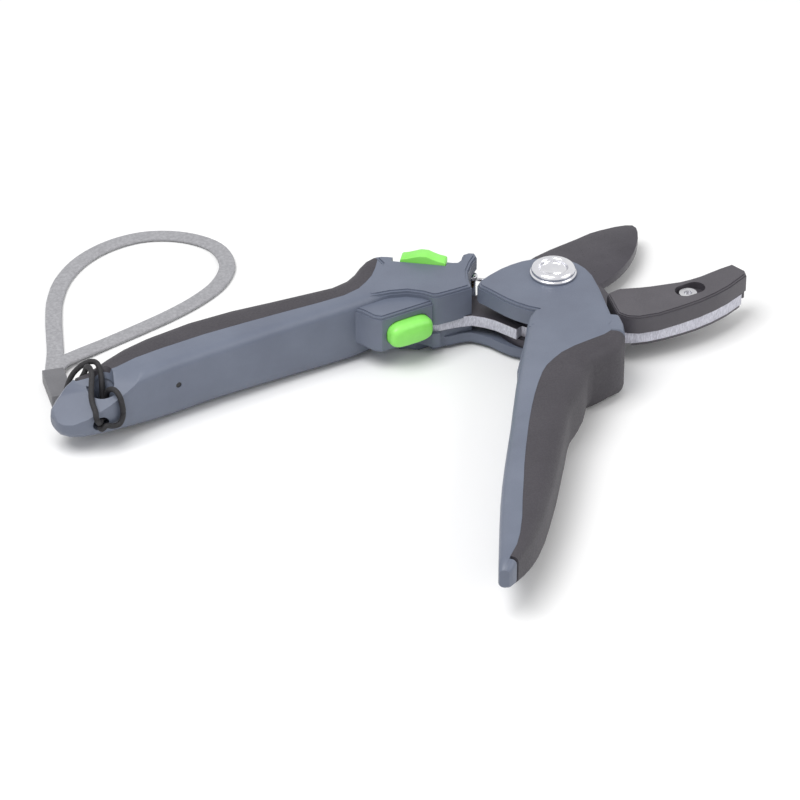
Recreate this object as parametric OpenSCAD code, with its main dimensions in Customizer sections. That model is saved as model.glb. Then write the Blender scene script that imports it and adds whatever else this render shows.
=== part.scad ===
// Battery electric pruner, lying on its side with its handles open.
// The origin is on the blade pivot's axis, at the level of the surface the tool lies on.
// +X points from the main handle towards the jaws, +Z is up and is the pivot's axis.

/* [Main handle] */
// Distance from the pivot to the tail end of the main handle
handle_reach = 171; // [168:1:180]
// Thickness of both handles, from the resting face to the top face
handle_h = 23; // [23:0.5:25]
// Wall of the moulded shells
wall = 2; // [1.6:0.1:2.2]
// Radius of both handles' upper edges under the soft grip
grip_r = 5; // [4:0.1:5]
// Radius of both handles' upper edges on the side without the grip
edge_r = 3.2; // [2.4:0.1:3.6]
// Largest radius of both handles' lower edges
belly_r = 8.5; // [6:0.1:8.6]
// Thickness of the soft grip over the shells
grip_t = 1.4; // [1:0.1:1.6]
// Radius of the lanyard eye in the tail
eye_r = 3.5; // [3:0.1:3.5]

/* [Lever] */
// Distance from the pivot to the tip of the lever
lever_reach = 161; // [158:1:164]
// Angle between the two handles' drawing lines when the lever is open
lever_angle = 52.5; // [50:0.5:54]
// Thickness of the round head that covers the pivot
cap_t = 6.5; // [5.5:0.1:6.5]

/* [Jaws] */
// Thickness of the steel anvil plate
plate_t = 4; // [3:0.1:4]
// Height of the anvil plate's lower face above the resting surface
plate_z = 8; // [8:0.1:8.4]
// Thickness of the blade
blade_t = 2.9; // [2:0.1:2.9]
// Height of the anvil pad above the plate
pad_over = 6.4; // [5:0.1:7]
// Depth of the anvil pad's lip below the plate
pad_under = 4.4; // [3:0.1:5]
// Radius of the anvil screw's head
pad_screw_r = 2.9; // [2.4:0.1:3.1]

/* [Pivot] */
// Radius of the pivot bolt's shank
bolt_r = 4.5; // [4:0.1:5]
// Radius of the pivot bolt's head
bolt_head_r = 7.6; // [7:0.1:8.5]
// Height of the pivot bolt's head above the cap
bolt_head_h = 3.2; // [2.6:0.1:4]
// Wire diameter of the opening spring
spring_wire = 1.2; // [0.9:0.1:1.2]
// Turns of the opening spring
spring_turns = 1.46; // [1.3:0.02:1.6]

/* [Drive] */
// Diameter of the battery cell
cell_d = 14; // [13:0.1:14]
// Length of the battery cell
cell_len = 50; // [46:1:50]
// Length of the motor
motor_len = 16; // [14:0.5:16]
// Radius of the lead screw
screw_r = 2; // [1.5:0.1:2]
// Distance from the pivot to the pin that the yoke drives
pin_arm = 13.5; // [13:0.1:13.8]
// Radius of the drive pin
pin_r = 2; // [1.5:0.1:2]

/* [Controls] */
// Width of the start button along the handle
button_w = 15.5; // [13:0.5:15.5]
// Height of the start button
button_h = 8.4; // [7.4:0.1:8.4]
// Travel of the start button
button_travel = 2.5; // [1.5:0.1:2.5]
// Length of the lock slider
slider_l = 15; // [12:0.5:15]
// Travel of the lock slider
slider_travel = 2.5; // [2:0.1:2.5]

/* [Lanyard] */
// Diameter of the lanyard cord
cord_d = 1.8; // [1.5:0.1:1.8]
// Width of the wrist strap
strap_w = 5.5; // [4:0.5:7]
// Thickness of the wrist strap
strap_t = 1.2; // [0.8:0.1:1.4]

/* [Fits] */
// Radial clearance of a shaft that turns in its bore
running_fit = 0.05; // [0.03:0.01:0.08]
// Gap between flat faces that slide past each other
slide_gap = 0.1; // [0.05:0.01:0.1]
// Gap round a button or slider in its opening
button_gap = 0.3; // [0.25:0.05:0.4]
// Gap round a piece that sits in a moulded pocket
pocket_gap = 0.1; // [0.05:0.05:0.2]

/* [Hidden] */
$fn = 48;

// Levels
mid_z = handle_h / 2;
cap_z = handle_h - cap_t;
plate_top = plate_z + plate_t;
blade_z = plate_z - slide_gap - blade_t;
tray_top = blade_z - slide_gap;
tray_z = 0.9;
floor_z = wall;
ceiling_z = handle_h - wall;

// Plan sizes round the pivot
disc_r = 22.5;
disc_clear_r = 26.5;
front_clear_r = 27;
blade_root_r = 19.5;
cut = 0.02;
skin_min = 0.1;

// Main handle's stations from tail to head:
// [x, front y, rear y, grip edge y, bottom z, top z, grip depth as a share of grip_t,
// largest edge radius where it is less than the handle's own]
tail = -handle_reach;
MAIN = [
    [tail, 18.4, 23.6, 21, 8.5, 12.2, 0],
    [tail + 1, 16.4, 25.4, 21.5, 7, 14.6, 0],
    [tail + 3.5, 14.4, 27.6, 22, 5.6, 16.2, 0],
    [tail + 8, 13.2, 29, 26.2, 4.4, 18.2, 0],
    [tail + 11, 13, 29.7, 27.2, 4, 19.2, 0],
    [tail + 12, 13, 29.9, 26.8, 3.8, 19.6, 1],
    [tail + 16, 13, 30.6, 25.2, 3.3, 20.6, 1],
    [tail + 24, 13.8, 32.4, 24, 2, 22, 1],
    [tail + 31, 14.8, 34, 24.6, 0.8, 22.8, 1],
    [tail + 40, 15.6, 35.6, 25, 0, handle_h, 1],
    [-115, 16.2, 37, 25.4, 0, handle_h, 1],
    [-100, 16.7, 36.4, 24.8, 0, handle_h, 1],
    [-86, 17, 34.6, 24, 0, handle_h, 1],
    [-74, 17.2, 33.2, 23.2, 0, handle_h, 1],
    [-65, 17.3, 32.2, 23, 0, handle_h, 1],
    [-59, 17.4, 33.2, 24.2, 0, handle_h, 1],
    [-55, 17.4, 35.3, 26.4, 0, handle_h, 1],
    [-51.5, 17.4, 37.8, 28.8, 0, handle_h, 1, 4.6],
    [-48, 17.4, 39.2, 32.4, 0, handle_h, 1, 3.2],
    [-45, 17.4, 39.2, 36.2, 0, handle_h, 1, 2]
];

// Head of the main handle in plan, over the boss and the front end
head_front_x = -26.5;
HEAD = [
    [-58, 18.6], [-51, 17.2], [-46, 15.2], [-42.4, 11.8], [-40.4, 8.6], [-38.8, 7.8], [-34, 7.4],
    [head_front_x, 7.2], [-25, 11.6], [-22.6, 15.8], [-19, 19.6], [-15.4, 22.4], [-15, 24.4],
    [-16.6, 25.6], [-19, 25.6], [-21, 23.2], [-22.8, 22.4], [-24, 23], [-40.6, 37], [-42.4, 38.2],
    [-44.9, 38.9], [-44.9, 34], [-50, 28], [-58, 22]
];
// Room inside the head in plan
HEAD_ROOM = [
    [-52, 20.4], [-44, 18.6], [-38, 17.6], [-27.6, 17.6], [-26.4, 20.4], [-27.4, 22.4],
    [-40.6, 33.4], [-43, 35], [-47, 33], [-52, 28]
];
head_room_z = 5.4;
// Moulded boss that carries the start button
boss_x0 = -61.2;
boss_x1 = -39.6;
boss_y = 8.4;
boss_z0 = 6.8;
boss_z1 = 20.6;

// Steel plate in plan, from the screwed tang round the pivot to the anvil's tip
PLATE = [
    [-40, 16.4], [-40, 10], [-38.4, 9.2], [-33.6, 8.4], [-30.1, 7.6], [-26.8, 6.4], [-24, 3.4],
    [-21.9, 0.2], [-20.2, -4], [-18.7, -7.9], [-16.2, -7], [-14.4, -9.8], [-10.8, -13.8],
    [-5, -18.6], [2, -21.8], [8, -25.4],
    [12, -28.6], [17.3, -30.4], [22.9, -31.3], [28.8, -31.7], [34.9, -31.8], [41.6, -31.1],
    [48.7, -29.6], [56, -27], [57, -25.4], [55.8, -21.8], [48.9, -22.2], [40.9, -22.4],
    [33.9, -21.2], [27.3, -18.9], [21.6, -15.4], [18, -9.5], [19, -2], [17.8, 6], [13.6, 13],
    [7, 17.4], [0, 18.6], [-8, 17.4], [-16, 16.4]
];
// Anvil pad in plan
PAD = [
    [9.3, -24.6], [10.9, -28], [14.1, -30.2], [20.6, -31.8], [28.5, -32], [36.4, -31.8],
    [43.5, -30.8], [49.6, -29.3], [58.4, -25.9], [59.3, -23.6], [57.9, -18.1], [53.1, -18.2],
    [48.9, -18.6], [44.7, -19], [40.9, -18.9], [37.2, -18.5], [33.9, -17.6], [30.6, -16.7],
    [27.3, -15.8], [24.2, -14.7], [21.2, -13.4], [17.9, -12], [14.1, -12.4], [12.6, -13]
];
// Lip of the pad that the blade's edge meets, in plan
LIP = [
    [23, -20.8], [23, -15.6], [27.2, -17.2], [33.8, -19.6], [42.6, -21.3], [51.6, -21.4],
    [56.8, -20.4], [57, -23.2], [49, -24.4], [40, -24.6], [30, -23.6]
];
// Thin skirt of the pad under the plate, in plan
SKIRT = [
    [12.4, -28.2], [17.4, -30], [22.9, -30.9], [28.8, -31.3], [34.9, -31.4], [41.6, -30.7],
    [48.7, -29.2], [55.6, -26.7], [56.8, -23], [49, -24], [40, -24.2], [30, -23.2], [23.4, -20],
    [19, -25.4]
];
skirt_t = 1.1;
pad_screw_x = 36.4;
pad_screw_y = -24.6;
pad_recess_l = 4;

// Blade in plan, drawn with the lever lying along -X
BLADE = [
    [8, -17.8], [16, -11.6], [19.8, -13.9], [22.8, -16], [26, -18.1], [29, -19.7], [32.5, -21.1],
    [36.8, -22.5], [41.2, -23.4], [45.5, -23.9], [50.3, -24], [54.1, -23.6], [56.6, -22.9],
    [58.1, -21.5], [57.8, -19.1], [56.4, -15.8], [53.5, -11], [51.2, -7.8], [46.4, -3.2],
    [42, 1.4], [39, 4.5], [35.6, 7.5], [33.9, 9], [28, 13], [20, 16.6], [8, 17.8]
];
tang_x = -62;
tang_y0 = -12.2;
tang_y1 = -3;

// Lever's stations from tip to head, drawn with its outer side towards +Y:
// [x, inner y, outer y, grip edge y, bottom z, top z, grip depth as a share of grip_t]
tip = -lever_reach;
LEVER = [
    [tip, -0.5, 2.6, 1, 13.4, 19.6, 0],
    [tip + 1, -0.9, 3.4, 1.4, 12.6, 20.4, 0],
    [tip + 4, -1.2, 4.4, 2, 11.6, 21.2, 0],
    [tip + 5, -1.3, 4.7, 2.2, 11.3, 21.4, 1],
    [tip + 10.5, -1.8, 6.4, 3.6, 9.6, 22, 1],
    [tip + 16, -2.3, 8, 4, 7.8, 22.4, 1],
    [tip + 24, -3, 9.3, 3.8, 5, 22.8, 1],
    [tip + 33, -3.7, 10.4, 3, 2.4, handle_h, 1],
    [-119, -4.2, 11.1, 2.4, 0.7, handle_h, 1],
    [-110, -4.5, 11.6, 1.7, 0, handle_h, 1],
    [-100, -4.7, 11.9, 1.2, 0, handle_h, 1],
    [-87, -4.9, 12.2, 0.8, 0, handle_h, 1],
    [-78, -5.2, 12.3, 0.8, 0, handle_h, 1],
    [-71, -5.4, 12.9, 1, 0, handle_h, 1],
    [-64, -5.6, 14.8, 1.5, 0, handle_h, 1],
    [-58, -5.6, 15.9, 2.2, 0, handle_h, 1],
    [-54, -5.6, 16, 3.2, 0, handle_h, 1],
    [-50, -5.6, 16.2, 5, 0, handle_h, 1],
    [-46, -5.6, 17.6, 7.2, 0, handle_h, 1],
    [-42, -5.6, 22.2, 10.6, 0, handle_h, 1],
    [-38, -5.6, 25.2, 15, 0, handle_h, 1],
    [-34, -5.6, 26, 19.6, 0, handle_h, 1, 4],
    [-31.5, -5.6, 26.1, 21.4, 0, handle_h, 1, 3],
    [-30.5, -5.6, 26.1, 21.4, 0, handle_h, 0, 2.4],
    [-26, -5.2, 25.2, 19.4, 0, handle_h, 0, 1.8],
    [-22, -4, 23.6, 18, 0, handle_h, 0, 1.4]
];
// Round head of the lever in plan
CAP = [
    [-32, -20], [-26, -22.4], [-22, -21], [-6.2, -15.8], [1.4, -12.8], [5.4, -10.2], [8.1, -7.4],
    [9.8, -4.4], [10.6, -0.6], [10.4, 3.4], [9.2, 7.4], [7.4, 11], [4.8, 14.4], [1.7, 17.5],
    [-2.1, 20.4], [-6.4, 23.2], [-8.8, 23.8], [-10.4, 23], [-12, 20.6], [-14.4, 17.6],
    [-17.2, 14], [-19.4, 10.4], [-21.2, 6.4], [-22, 3.4], [-26, 5], [-32, 5]
];
// Striking block on the lever's inner side
STRIKER = [[-30, 5], [-32, 5.8], [-51.6, 6.4], [-52.8, 5.6], [-52.8, 4], [-30, 4]];
striker_z0 = 5;
striker_z1 = 18;

// Inside the main handle
cell_x = -134.7;
cell_y = 25.1;
contact_t = 0.4;
motor_x = cell_x + cell_len + 9.3;
motor_y = 23.9;
motor_w = 9;
motor_h = 12;
gear_x = motor_x + motor_len;
gear_len = 9;
screw_y = 20.4;
screw_x0 = gear_x + gear_len;
screw_x1 = -25.4;
bearing_l = 3;
bearing_od = 3;
nut_l = 6;
nut_w = 5.6;
nut_x = screw_x0 + 6.6;
yoke_z0 = floor_z + slide_gap;
yoke_z1 = tray_top - slide_gap;
pin_angle = 114.5;
pin_x = pin_arm * cos(pin_angle);
pin_y = pin_arm * sin(pin_angle);
yoke_rim = 1.5;
arm_y = 13.2;
arm_back_x = -46;
arm_back_y = 15;
arm_w = 4.4;
yoke_y0 = pin_y - pin_r - 0.4 - yoke_rim;
yoke_y1 = pin_arm + pin_r + 0.4 + yoke_rim;
yoke_travel = 2 * pin_arm * cos(180 - pin_angle);
slot_gap = 0.15;

// Start button
button_x = -49.75;
button_z = 13.1;
button_face_y = 3.9;
flange = 0.7;
button_corner_r = 3.8;
flange_t = 1.6;
button_back_y = boss_y + wall + button_gap / 3 + flange_t;

// Lock slider on the slanted rear wall of the head
slider_x = -31.4;
slider_y = 29.24;
slider_turn = atan2(-14, 16.6);
slider_z0 = 15.6;
slider_proud = 1.6;
slider_lip = 0.9;

// Spring and its post
post_x = -17.4;
post_y = 22.4;
post_r = 1.5;
post_top = 16;
spring_r = 8.2;
spring_pitch = 1.7;
spring_z = plate_top + 0.2 + spring_wire / 2;

// Fasteners: [x, y] of each screw, with the level of the head where it lies in a shell
SHELL_SCREWS = [[-138.5, 25, 1.2], [-80.1, 22.8, 0.4], [-47.5, 33.5, 0.4]];
PLATE_SCREWS = [[-37, 11.4], [-30.5, 11.2]];
LEVER_SCREWS = [[-58, -8.4, 1], [-122, -3.4, 2]];
fastener_r = 1.4;
fastener_head_r = 2.1;
fastener_head_h = 1.6;
plate_screw_r = 1.1;

// Lanyard
eye_x = -153.7;
eye_y = 20.4;
eye_floor = 8;
cord_hole_r = 2.4;
cord_hole_x = -159.3;
cord_hole_z = 10.5;
CORD = [
    [-157.5, 40.9, 3.1], [-157.9, 39.8, 5], [-157.7, 38, 10.6], [-156.8, 35.6, 16],
    [-154.8, 33, 20], [-152.8, 30.2, 22.4], [-151.9, 27.6, 22.7], [-152.2, 25, 20.7],
    [-153, 22.8, 17.8], [-153.7, 21.4, 13.8], [-154.3, 20.2, 11.2], [-155.9, 17.6, 9.7],
    [-158, 14.8, 9.6], [-159.2, 12.9, 9.7], [-158.9, 11.7, 9.5], [-157.4, 11.6, 10.4],
    [-155.2, 11.8, 9.4], [-152.8, 12, 9.2], [-151.5, 12.1, 11], [-151.2, 12.1, 13.4],
    [-151.5, 12, 16], [-151.9, 12.4, 18.6], [-152.3, 14.2, 20.1], [-152.8, 16.4, 19.8],
    [-153.2, 18.6, 17.8], [-153.4, 19.2, 14.8], [-154.5, 18.6, 12.4], [-156.4, 16, 11.4],
    [-158.4, 13.6, 11.3], [-159.8, 12, 12], [-160.8, 11.6, 14.2], [-160.5, 12.8, 16.1],
    [-159.7, 16.3, 17], [-158.6, 19.2, 18.2], [-157, 22, 19.9], [-155.4, 24.8, 21.7],
    [-154.9, 27.4, 22.4], [-154.8, 29.6, 21.3], [-154.4, 32, 17.8], [-155, 34.4, 13.6],
    [-156, 37.2, 8], [-156.3, 39.2, 4.8], [-156.3, 40.4, 3.3]
];
STRAP = [
    [-154.6, 54, 0], [-153, 58.4, 0], [-150, 64, 0], [-146, 71, 0], [-142, 79.5, 0], [-137.5, 89, 0],
    [-132, 99, 0], [-124, 109, 0], [-113, 117, 0], [-100, 121, 0], [-87, 120, 0], [-76, 113, 0],
    [-70, 102, 0], [-72, 90, 0], [-80, 81, 0], [-91, 75.5, 0], [-103, 72, 0], [-116, 69.5, 0],
    [-129, 67.4, 0], [-140, 65.2, 0.4], [-148, 62.4, 1], [-152.4, 58.6, 1], [-154.6, 54, 1]
];
ferrule_x = -155.6;
ferrule_y = 49.8;
ferrule_l = 16;
ferrule_w = 7;
ferrule_h = 4.6;
ferrule_turn = -15;
ferrule_slot = 5;

// ---- Shared shapes ----

// Unit normal pointing left of the way from a to b
function left_of(a, b) = let (d = b - a) [-d[1], d[0]] / norm(d);

// An outline moved in by d at every edge; its points run counter-clockwise
function inset(pts, d) = [
    for (i = [0 : len(pts) - 1])
        let (
            a = left_of(pts[(i + len(pts) - 1) % len(pts)], pts[i]),
            b = left_of(pts[i], pts[(i + 1) % len(pts)]),
            m = a + b
        )
        pts[i] + m * (d / max(0.6, 1 + a * b))
];

// Slab between two levels whose edges at z1 are rounded in two steps
module slab(pts, z0, z1, edge) {
    translate([0, 0, z0]) linear_extrude(z1 - z0 - edge) polygon(pts);
    translate([0, 0, z0]) linear_extrude(z1 - z0 - edge * 0.35) polygon(inset(pts, edge * 0.3));
    translate([0, 0, z0]) linear_extrude(z1 - z0) polygon(inset(pts, edge * 0.95));
}

// A closed solid through rings of points, which run clockwise seen from the last ring
module skin_solid(rings, c_section = false) {
    n = len(rings[0]);
    last = len(rings) - 1;
    sides = [
        for (i = [0 : last - 1])
            for (j = [0 : n - 1])
                let (k = (j + 1) % n)
                each [
                    [i * n + j, i * n + k, (i + 1) * n + k],
                    [i * n + j, (i + 1) * n + k, (i + 1) * n + j]
                ]
    ];
    start_caps = c_section
        ? [for (j = [0 : n / 2 - 2]) [n - 1 - j, n - 2 - j, j + 1, j]]
        : [[for (j = [n - 1 : -1 : 0]) j]];
    end_caps = c_section
        ? [for (j = [0 : n / 2 - 2]) [for (k = [j, j + 1, n - 2 - j, n - 1 - j]) last * n + k]]
        : [[for (j = [0 : n - 1]) last * n + j]];
    polyhedron([for (r = rings) each r], concat(sides, start_caps, end_caps), convexity = 6);
}

arc_steps = 4;

// Level at which the two shells of a handle part
function part_z(s) = max(mid_z, (s[4] + s[5]) / 2);

// Edge radii that fit a station, on the side without the grip and on the grip's side
function fitted_r(s, top, r, w) = min(r, w, len(s) > 7 ? s[7] : r,
    (top ? s[5] - part_z(s) : part_z(s) - s[4]) * 0.9);
function front_r(s, top) = fitted_r(s, top, top ? edge_r : belly_r,
    min((s[3] - s[1]) * 0.9, (s[2] - s[1]) * 0.4));
function rear_r(s, top) = fitted_r(s, top, top ? grip_r : belly_r, s[2] - s[3] - 0.4);

// Half of a handle's section, from the parting plane to its top or bottom, with a step
// where the soft grip lies
function half_ring(s, top) =
    let (
        f = front_r(s, top),
        r = rear_r(s, top),
        up = top ? 1 : -1,
        edge_z = top ? s[5] : s[4],
        g = max(skin_min, s[6] * grip_t),
        pts = concat(
            [[s[0], s[1], part_z(s)]],
            [for (k = [0 : arc_steps]) let (a = 90 * k / arc_steps)
                [s[0], s[1] + f * (1 - cos(a)), edge_z - up * f * (1 - sin(a))]],
            [[s[0], s[3], edge_z], [s[0], s[3], edge_z - up * g]],
            [for (k = [arc_steps : -1 : 0]) let (a = 90 * k / arc_steps)
                [s[0], s[2] - g - (r - g) * (1 - cos(a)), edge_z - up * (g + (r - g) * (1 - sin(a)))]],
            [[s[0], s[2] - g, part_z(s)]]
        )
    )
    top ? pts : [for (i = [len(pts) - 1 : -1 : 0]) pts[i]];

// Section of the soft grip, a C that wraps the handle's outer side
function grip_ring(s) =
    let (
        t = rear_r(s, true),
        b = rear_r(s, false),
        g = grip_t - skin_min / 2,
        gy = s[3] + skin_min / 2,
        outer = concat(
            [[gy, s[5]]],
            [for (k = [arc_steps : -1 : 0]) let (a = 90 * k / arc_steps)
                [s[2] - t * (1 - cos(a)), s[5] - t * (1 - sin(a))]],
            [for (k = [0 : arc_steps]) let (a = 90 * k / arc_steps)
                [s[2] - b * (1 - cos(a)), s[4] + b * (1 - sin(a))]],
            [[gy, s[4]]]
        ),
        inner = concat(
            [[gy, s[4] + g]],
            [for (k = [arc_steps : -1 : 0]) let (a = 90 * k / arc_steps)
                [s[2] - g - (b - g) * (1 - cos(a)), s[4] + g + (b - g) * (1 - sin(a))]],
            [for (k = [0 : arc_steps]) let (a = 90 * k / arc_steps)
                [s[2] - g - (t - g) * (1 - cos(a)), s[5] - g - (t - g) * (1 - sin(a))]],
            [[gy, s[5] - g]]
        )
    )
    [for (p = concat(outer, inner)) [s[0], p[0], p[1]]];

module half_handle(stations, top) {
    skin_solid([for (s = stations) half_ring(s, top)]);
}

module grip_solid(stations) {
    skin_solid([for (s = stations) if (s[6] > 0) grip_ring(s)], true);
}

// Plan of the hollow inside a handle between two stations
function hollow(stations, from, to, t) = concat(
    [for (i = [from : to]) [stations[i][0], stations[i][1] + t]],
    [for (i = [to : -1 : from]) [stations[i][0], stations[i][2] - grip_t - t]]
);

// A swept tube or flat strap along a route, as rings of eight points
function unit(v) = v / norm(v);
function route_dir(p, i) = unit(p[min(i + 1, len(p) - 1)] - p[max(i - 1, 0)]);
function route_ring(p, i, w, h) =
    let (
        t = route_dir(p, i),
        side = unit(cross([0, 0, 1], t)),
        up = cross(t, side)
    )
    [for (k = [0 : 7]) let (a = -45 * k) p[i] + side * (w / 2 * cos(a)) + up * (h / 2 * sin(a))];

module tube(route, w, h) {
    skin_solid([for (i = [0 : len(route) - 1]) route_ring(route, i, w, h)]);
}

module bore(x, y, r, z0, z1) {
    translate([x, y, z0]) cylinder(r = r, h = z1 - z0);
}

module block(x0, x1, y0, y1, z0, z1) {
    translate([x0, y0, z0]) cube([x1 - x0, y1 - y0, z1 - z0]);
}

// Everything that rides on the lever is drawn with the lever along -X and turned here
module on_lever() {
    rotate([0, 0, lever_angle]) children();
}

// ---- Main handle ----

// Space for the motor, gearbox, switches and board in the head
module head_hollow(z0, z1) {
    translate([0, 0, z0]) linear_extrude(z1 - z0) polygon(HEAD_ROOM);
}

module cell_pocket() {
    translate([cell_x - contact_t - 0.3, cell_y, mid_z]) rotate([0, 90, 0])
        cylinder(r = cell_d / 2 + 0.15, h = cell_len + 2 * contact_t + 0.6);
}

// Hollow of the handle between two heights, above the rounded belly, with the cell's pocket
module handle_hollow(z0, z1) {
    cell_pocket();
    translate([0, 0, max(z0, head_room_z)]) linear_extrude(z1 - max(z0, head_room_z))
        polygon(hollow(MAIN, 10, 18, wall));
}

// Pockets that the drive train and its switch sit or travel in
module drive_pockets() {
    block(gear_x - 5, gear_x + gear_len + 0.4, 18.8, motor_y + motor_w / 2 + 0.2,
        mid_z - motor_h / 2 - 0.2, ceiling_z);
    block(nut_x - nut_l - 0.6, nut_x + yoke_travel + 1, screw_y - nut_w / 2 - 0.3, screw_y + nut_w / 2 + 0.3,
        mid_z - nut_w / 2 - 0.3, mid_z + nut_w / 2 + 0.3);
    block(arm_back_x - 0.6, nut_x + yoke_travel + 1, arm_back_y - slide_gap, screw_y + nut_w / 2 + 0.3,
        floor_z, mid_z + 1);
    block(switch_x - 3.2, switch_x + 3.2, button_back_y, 18.9, button_z - 3.2, button_z + 3.2);
    translate([screw_x0 - 3, screw_y, mid_z]) rotate([0, 90, 0])
        cylinder(r = screw_r + 0.3, h = screw_x1 - screw_x0 + 3.2);
    translate([screw_x1 - bearing_l, screw_y, mid_z]) rotate([0, 90, 0])
        cylinder(r = bearing_od + 0.02, h = bearing_l + 0.2);
}

// Prism along Y with rounded corners, as the start button and its opening have
module rounded_prism(w, h, r, y0, y1) {
    translate([button_x, y0, button_z]) rotate([-90, 0, 0]) hull()
        for (dx = [-1, 1], dz = [-1, 1])
            translate([dx * (w / 2 - r), dz * (h / 2 - r), 0]) cylinder(r = r, h = y1 - y0, $fn = 32);
}

module button_opening() {
    rounded_prism(button_w + 2 * button_gap, button_h + 2 * button_gap, button_corner_r + button_gap,
        boss_y - 1, boss_y + wall + 1);
    block(button_x - button_w / 2 - flange - button_gap, button_x + button_w / 2 + flange + button_gap,
        boss_y + wall, button_back_y + button_travel + 3,
        button_z - button_h / 2 - flange - button_gap, button_z + button_h / 2 + flange + button_gap);
}

module slider_opening() {
    translate([slider_x, slider_y, 0]) rotate([0, 0, slider_turn]) {
        block(-slider_l / 2 - slider_travel - button_gap, slider_l / 2 + button_gap,
            -wall - 1 - button_gap, 6, slider_z0 - button_gap, handle_h + 1);
        block(-slider_l / 2 - slider_travel - slider_lip - button_gap,
            slider_l / 2 + slider_lip + button_gap, -wall - 1.8, -wall,
            slider_z0 - slider_lip - button_gap, ceiling_z);
    }
}

// The lanyard's way in: an eye from above, a groove to the rear edge and a hole in the front side
module eye_cut() {
    bore(eye_x, eye_y, eye_r, eye_floor, handle_h + 1);
    translate([eye_x, eye_y, 15.6]) cylinder(r1 = eye_r, r2 = eye_r + 2, h = 3);
    translate([eye_x, eye_y, 18.4]) rotate([-45, 0, -22]) cylinder(r = eye_r, h = 16);
    translate([cord_hole_x, 12, cord_hole_z]) rotate([0, 90, atan2(eye_y - 12, eye_x - cord_hole_x)])
        translate([0, 0, -3]) cylinder(r = cord_hole_r, h = 13);
}

// Slanting facet on the tail, seen as a bevel round the lanyard eye
module tail_facet() {
    translate([-145.8, 19.6, 21.8]) rotate([16.4, -20, 0]) block(-60, 40, -40, 40, 0, 30);
}

module status_hole() {
    translate([-129.5, 10, 14]) rotate([-90, 0, 0]) cylinder(r = 1, h = 10);
}

module post_space() {
    bore(post_x, post_y, 4.4, tray_top, post_top + 1.6);
}

module lever_sweep() {
    bore(0, 0, front_clear_r, tray_top, handle_h + 1);
}

module boss(z0, z1) {
    slab([[boss_x0, 22], [boss_x0 - 4.6, 20], [boss_x0 - 1.8, 15.4], [boss_x0 - 0.2, 10.4],
        [boss_x0 + 1.8, boss_y], [boss_x1 - 1, boss_y], [boss_x1, 10], [boss_x1, 20]], z0, z1, 1.2);
}

BOSSED_SCREWS = [SHELL_SCREWS[1], SHELL_SCREWS[2]];

module upper_shell() {
    color("slategray") difference() {
        union() {
            half_handle(MAIN, true);
            slab(HEAD, mid_z, handle_h, 1.2);
            boss(mid_z, boss_z1);
        }
        handle_hollow(mid_z - 1, ceiling_z);
        head_hollow(mid_z - 1, ceiling_z);
        button_opening();
        slider_opening();
        eye_cut();
        tail_facet();
        status_hole();
        post_space();
        lever_sweep();
        drive_pockets();
        grip_solid(MAIN);
        for (p = PLATE_SCREWS) bore(p[0], p[1], 2.1, plate_top - 1, plate_top + 2);
        translate([0, 0, mid_z - 1]) linear_extrude(plate_top + pocket_gap - mid_z + 1)
            polygon(inset(PLATE, -pocket_gap));
        for (p = SHELL_SCREWS) bore(p[0], p[1], fastener_r, mid_z - 1, ceiling_z + 0.4);
    }
    color("slategray") for (p = BOSSED_SCREWS) difference() {
        bore(p[0], p[1], fastener_r + 1.1, mid_z, ceiling_z + 0.3);
        bore(p[0], p[1], fastener_r, mid_z - 1, ceiling_z - 0.4);
    }
}

TRAY = [
    [-42, 19], [-42, 14], [-38, 13.4], [-36, 10], [-34, 8.8], [-30, 8.4], [-26.8, 7.4], [-24.6, 4.6],
    [-22.9, 1.5], [-21.6, -2.6], [-19.9, -6.6], [-17, -10.6], [-13, -14.6], [-7.4, -18.2], [-1, -20],
    [6, -19.2], [12, -16], [17, -11], [20, -4], [20.6, 3], [19, 10], [15, 16], [9, 20], [0, 22.4],
    [-10, 23.2], [-13, 24.6], [-16.6, 25.6], [-19, 25.6], [-21, 23.4], [-23, 23], [-25, 24],
    [-36, 33.2]
];

// Raised seat under the plate's tang
PLATE_SEAT = [
    [-39.6, 16.8], [-39.6, 10], [-33.4, 9.6], [-29, 9.2], [-25.6, 8.4], [-22, 12], [-20, 16.8]
];

module yoke_channel() {
    head_x0 = pin_x - pin_r - slot_gap - yoke_rim;
    block(arm_back_x - 0.6, arm_back_x + 10 + yoke_travel + 0.6, arm_back_y - slide_gap,
        arm_back_y + arm_w + slide_gap, floor_z, tray_top + 1);
    block(arm_back_x + 7.6, head_x0 + 1, arm_y - slide_gap, yoke_y1 + slide_gap, floor_z, tray_top + 1);
    block(head_x0 - 0.6, pin_x + pin_r + slot_gap + yoke_rim + 1 + yoke_travel + 0.6,
        yoke_y0 - slide_gap, yoke_y1 + slide_gap, floor_z, tray_top + 1);
}

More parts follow.
